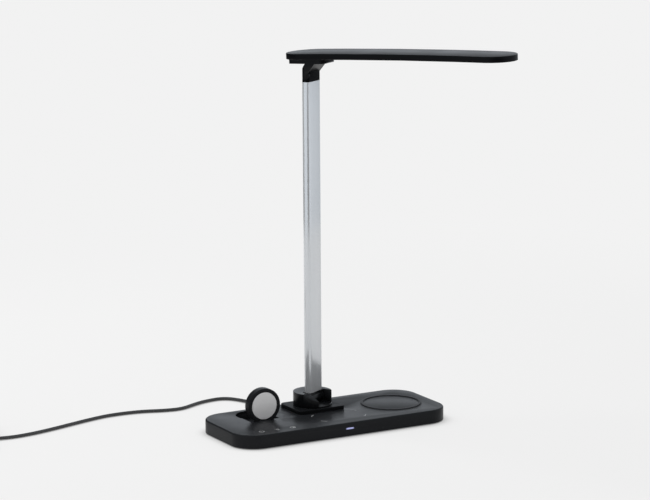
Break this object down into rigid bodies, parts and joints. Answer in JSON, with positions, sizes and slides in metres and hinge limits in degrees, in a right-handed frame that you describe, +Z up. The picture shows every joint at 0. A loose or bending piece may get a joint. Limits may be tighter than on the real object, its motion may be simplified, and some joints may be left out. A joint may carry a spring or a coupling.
{
  "type": "desk lamp with charging base",
  "caption": "Folding desk lamp: flat base with charging zones and a fold-down watch stand, swivel hub, tilting stem and hinged light bar.",
  "frame": {"origin": "centre of the base's underside, on the table", "axes": "+X along the base to its right, -Y the base's front with the touch keys, +Z up"},
  "size_m": [0.5045, 0.3666, 0.3876],
  "materials": {
    "matte_black": "matte, fine grain",
    "soft_black": "matte",
    "pad_rubber": "matte silicone",
    "steel": "plain",
    "swivel_nut_metal": "plain",
    "ballast": "plain steel plate",
    "circuit_board": "solder mask",
    "leds": "phosphor",
    "status_lens": "translucent",
    "copper": "enamelled wire",
    "ferrite": "dull",
    "satin_aluminium": "satin anodised",
    "wire_sleeve": "matte",
    "diffuser": "translucent",
    "puck_white": "smooth",
    "cord_jacket": "satin",
    "supply_plastic": "fine texture"
  },
  "bodies": {
    "base": {"base_shell": "matte_black", "base_cover": "soft_black", "base_pad": "pad_rubber", "cover_screws": "steel", "ballast_plate": "ballast", "main_board": "circuit_board", "touch_board": "circuit_board", "light_board": "circuit_board", "status_light": "status_lens", "dc_socket": "soft_black", "phone_coil": "copper", "phone_ferrite": "ferrite", "phone_grip_ring": "pad_rubber", "earbud_coil": "copper", "earbud_ferrite": "ferrite", "hub_plinth": "matte_black", "plinth_pegs": "steel", "swivel_washer": "steel", "watch_well": "matte_black", "stand_pin": "steel", "dc_plug": "cord_jacket", "cord_lead": "cord_jacket", "cord_coil": "cord_jacket", "cord_tie": "cord_jacket", "cord_tail": "cord_jacket", "supply_body": "supply_plastic", "supply_blades": "steel"},
    "hub": {"swivel_hub": "matte_black", "swivel_nut": "swivel_nut_metal", "arm_pin": "steel"},
    "arm": {"stem_foot": "matte_black", "arm_washers": "steel", "stem_tube": "satin_aluminium", "stem_wires": "wire_sleeve", "stem_top_block": "matte_black", "head_pin": "steel"},
    "head": {"head_neck": "matte_black", "head_washers": "steel", "head_cover": "matte_black", "head_underside": "soft_black", "head_diffuser": "diffuser", "led_board": "circuit_board", "leds": "leds", "head_screws": "steel"},
    "watch_stand": {"watch_stand": "matte_black", "watch_puck": "puck_white", "watch_coil": "copper"}
  },
  "joints": [
    {"name": "hub_swivel", "type": "hinge", "parent": "base", "child": "hub", "pos_m": [-0.0025, 0.022, 0.018], "axis": [0, 0, 1], "range_deg": [-120, 60]},
    {"name": "arm_tilt", "type": "hinge", "parent": "hub", "child": "arm", "pos_m": [-0.002, 0.02113, 0.0254], "axis": [0.866, 0.5, 0], "range_deg": [0, 45]},
    {"name": "head_tilt", "type": "hinge", "parent": "arm", "child": "head", "pos_m": [-0.002, 0.02113, 0.3543], "axis": [0.866, 0.5, 0], "range_deg": [-35, 45]},
    {"name": "watch_fold", "type": "hinge", "parent": "base", "child": "watch_stand", "pos_m": [-0.068, 0.0065, 0.0096], "axis": [-1, 0, 0], "range_deg": [0, 90]}
  ]
}
